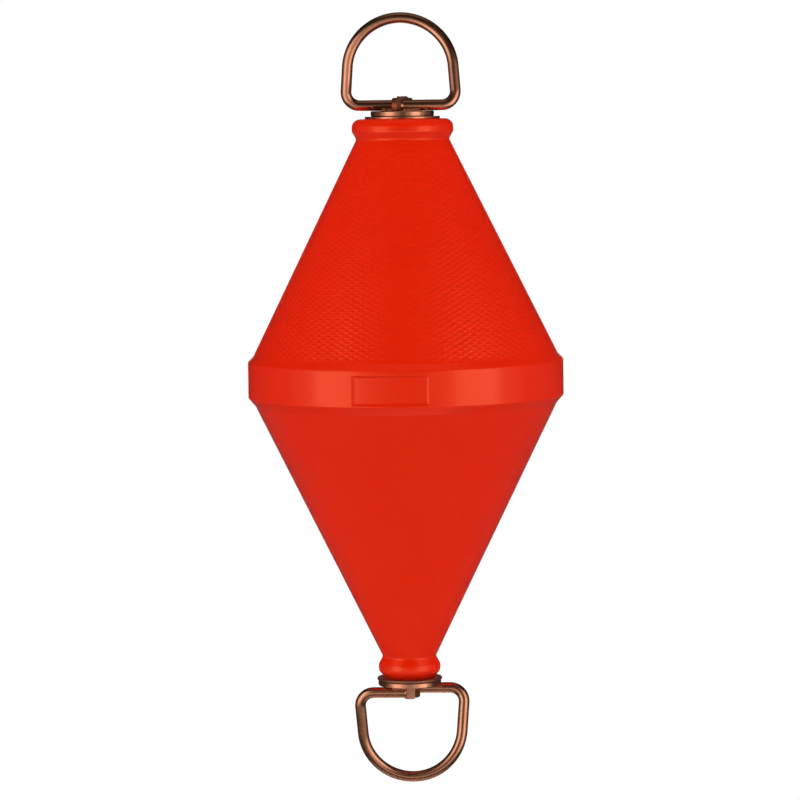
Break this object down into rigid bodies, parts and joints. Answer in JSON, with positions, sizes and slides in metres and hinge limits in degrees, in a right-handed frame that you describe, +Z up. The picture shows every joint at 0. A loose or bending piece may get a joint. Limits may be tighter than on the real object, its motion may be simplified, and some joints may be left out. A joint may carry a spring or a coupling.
{
  "type": "biconical mooring buoy",
  "caption": "Hollow biconical float on a through rod, with a banded middle, a patterned upper cone and a bent-bar swivel ring at each end for a mooring line and chain.",
  "frame": {"origin": "on the rod's axis at the middle of the float's band, where the design waterline is", "axes": "+Z up along the rod, +X to the right and -Y towards the viewer in the picture"},
  "size_m": [0.32, 0.32, 0.784],
  "materials": {
    "float_plastic": "satin moulded plastic, diamond texture on the upper cone",
    "zinc_plated_steel": "bright, with a warm bronze-coloured plating"
  },
  "bodies": {
    "buoy": {"float": "float_plastic", "tie_rod": "zinc_plated_steel", "top_washer": "zinc_plated_steel", "top_nut": "zinc_plated_steel", "bottom_washer": "zinc_plated_steel", "bottom_nut": "zinc_plated_steel"},
    "upper_ring": {"top_ring_plate": "zinc_plated_steel", "top_ring": "zinc_plated_steel"},
    "lower_ring": {"bottom_ring_plate": "zinc_plated_steel", "bottom_ring": "zinc_plated_steel"}
  },
  "joints": [
    {"name": "top_swivel", "type": "hinge", "parent": "buoy", "child": "upper_ring", "pos_m": [0, 0, 0.2685], "axis": [0, 0, 1], "continuous": true},
    {"name": "bottom_swivel", "type": "hinge", "parent": "buoy", "child": "lower_ring", "pos_m": [0, 0, -0.3104], "axis": [0, 0, 1], "continuous": true}
  ]
}
